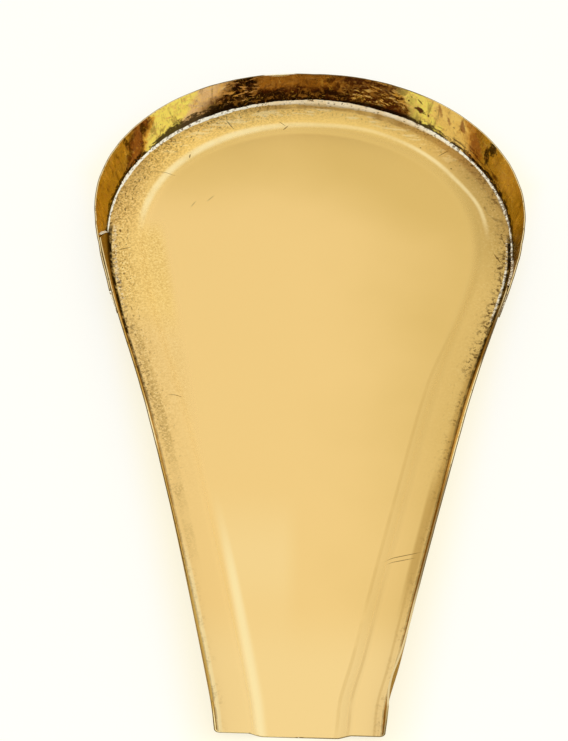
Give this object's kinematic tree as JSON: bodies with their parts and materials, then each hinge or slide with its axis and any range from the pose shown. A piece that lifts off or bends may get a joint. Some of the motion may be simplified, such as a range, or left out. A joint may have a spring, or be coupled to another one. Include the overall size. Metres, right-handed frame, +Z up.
{
  "type": "libation tray",
  "caption": "Low-walled sheet-brass tray with a round wide end, a recessed floor inside a flat ledge, and sides tapering to an open pouring spout.",
  "frame": {"origin": "middle of the bounding box's base, on the surface that the tray rests on", "axes": "+Z up, +Y along the tray towards its round wide end, -Y out of the spout, +X to the right seen from the spout"},
  "size_m": [0.2, 0.36, 0.0193],
  "materials": {
    "floor_brass": "polished floor, grainy unpolished ledge with brown tarnish by the foot of the wall",
    "wall_brass": "hammered, warm brown tarnish with bright facets",
    "brazing_metal": "pale, grainy, as it set"
  },
  "bodies": {
    "root": {"floor_sheet": "floor_brass", "end_wall": "wall_brass", "foot_fillet": "brazing_metal", "left_inner_lap_fillet": "brazing_metal", "right_inner_lap_fillet": "brazing_metal", "left_outer_lap_fillet": "brazing_metal", "right_outer_lap_fillet": "brazing_metal"}
  },
  "joints": []
}
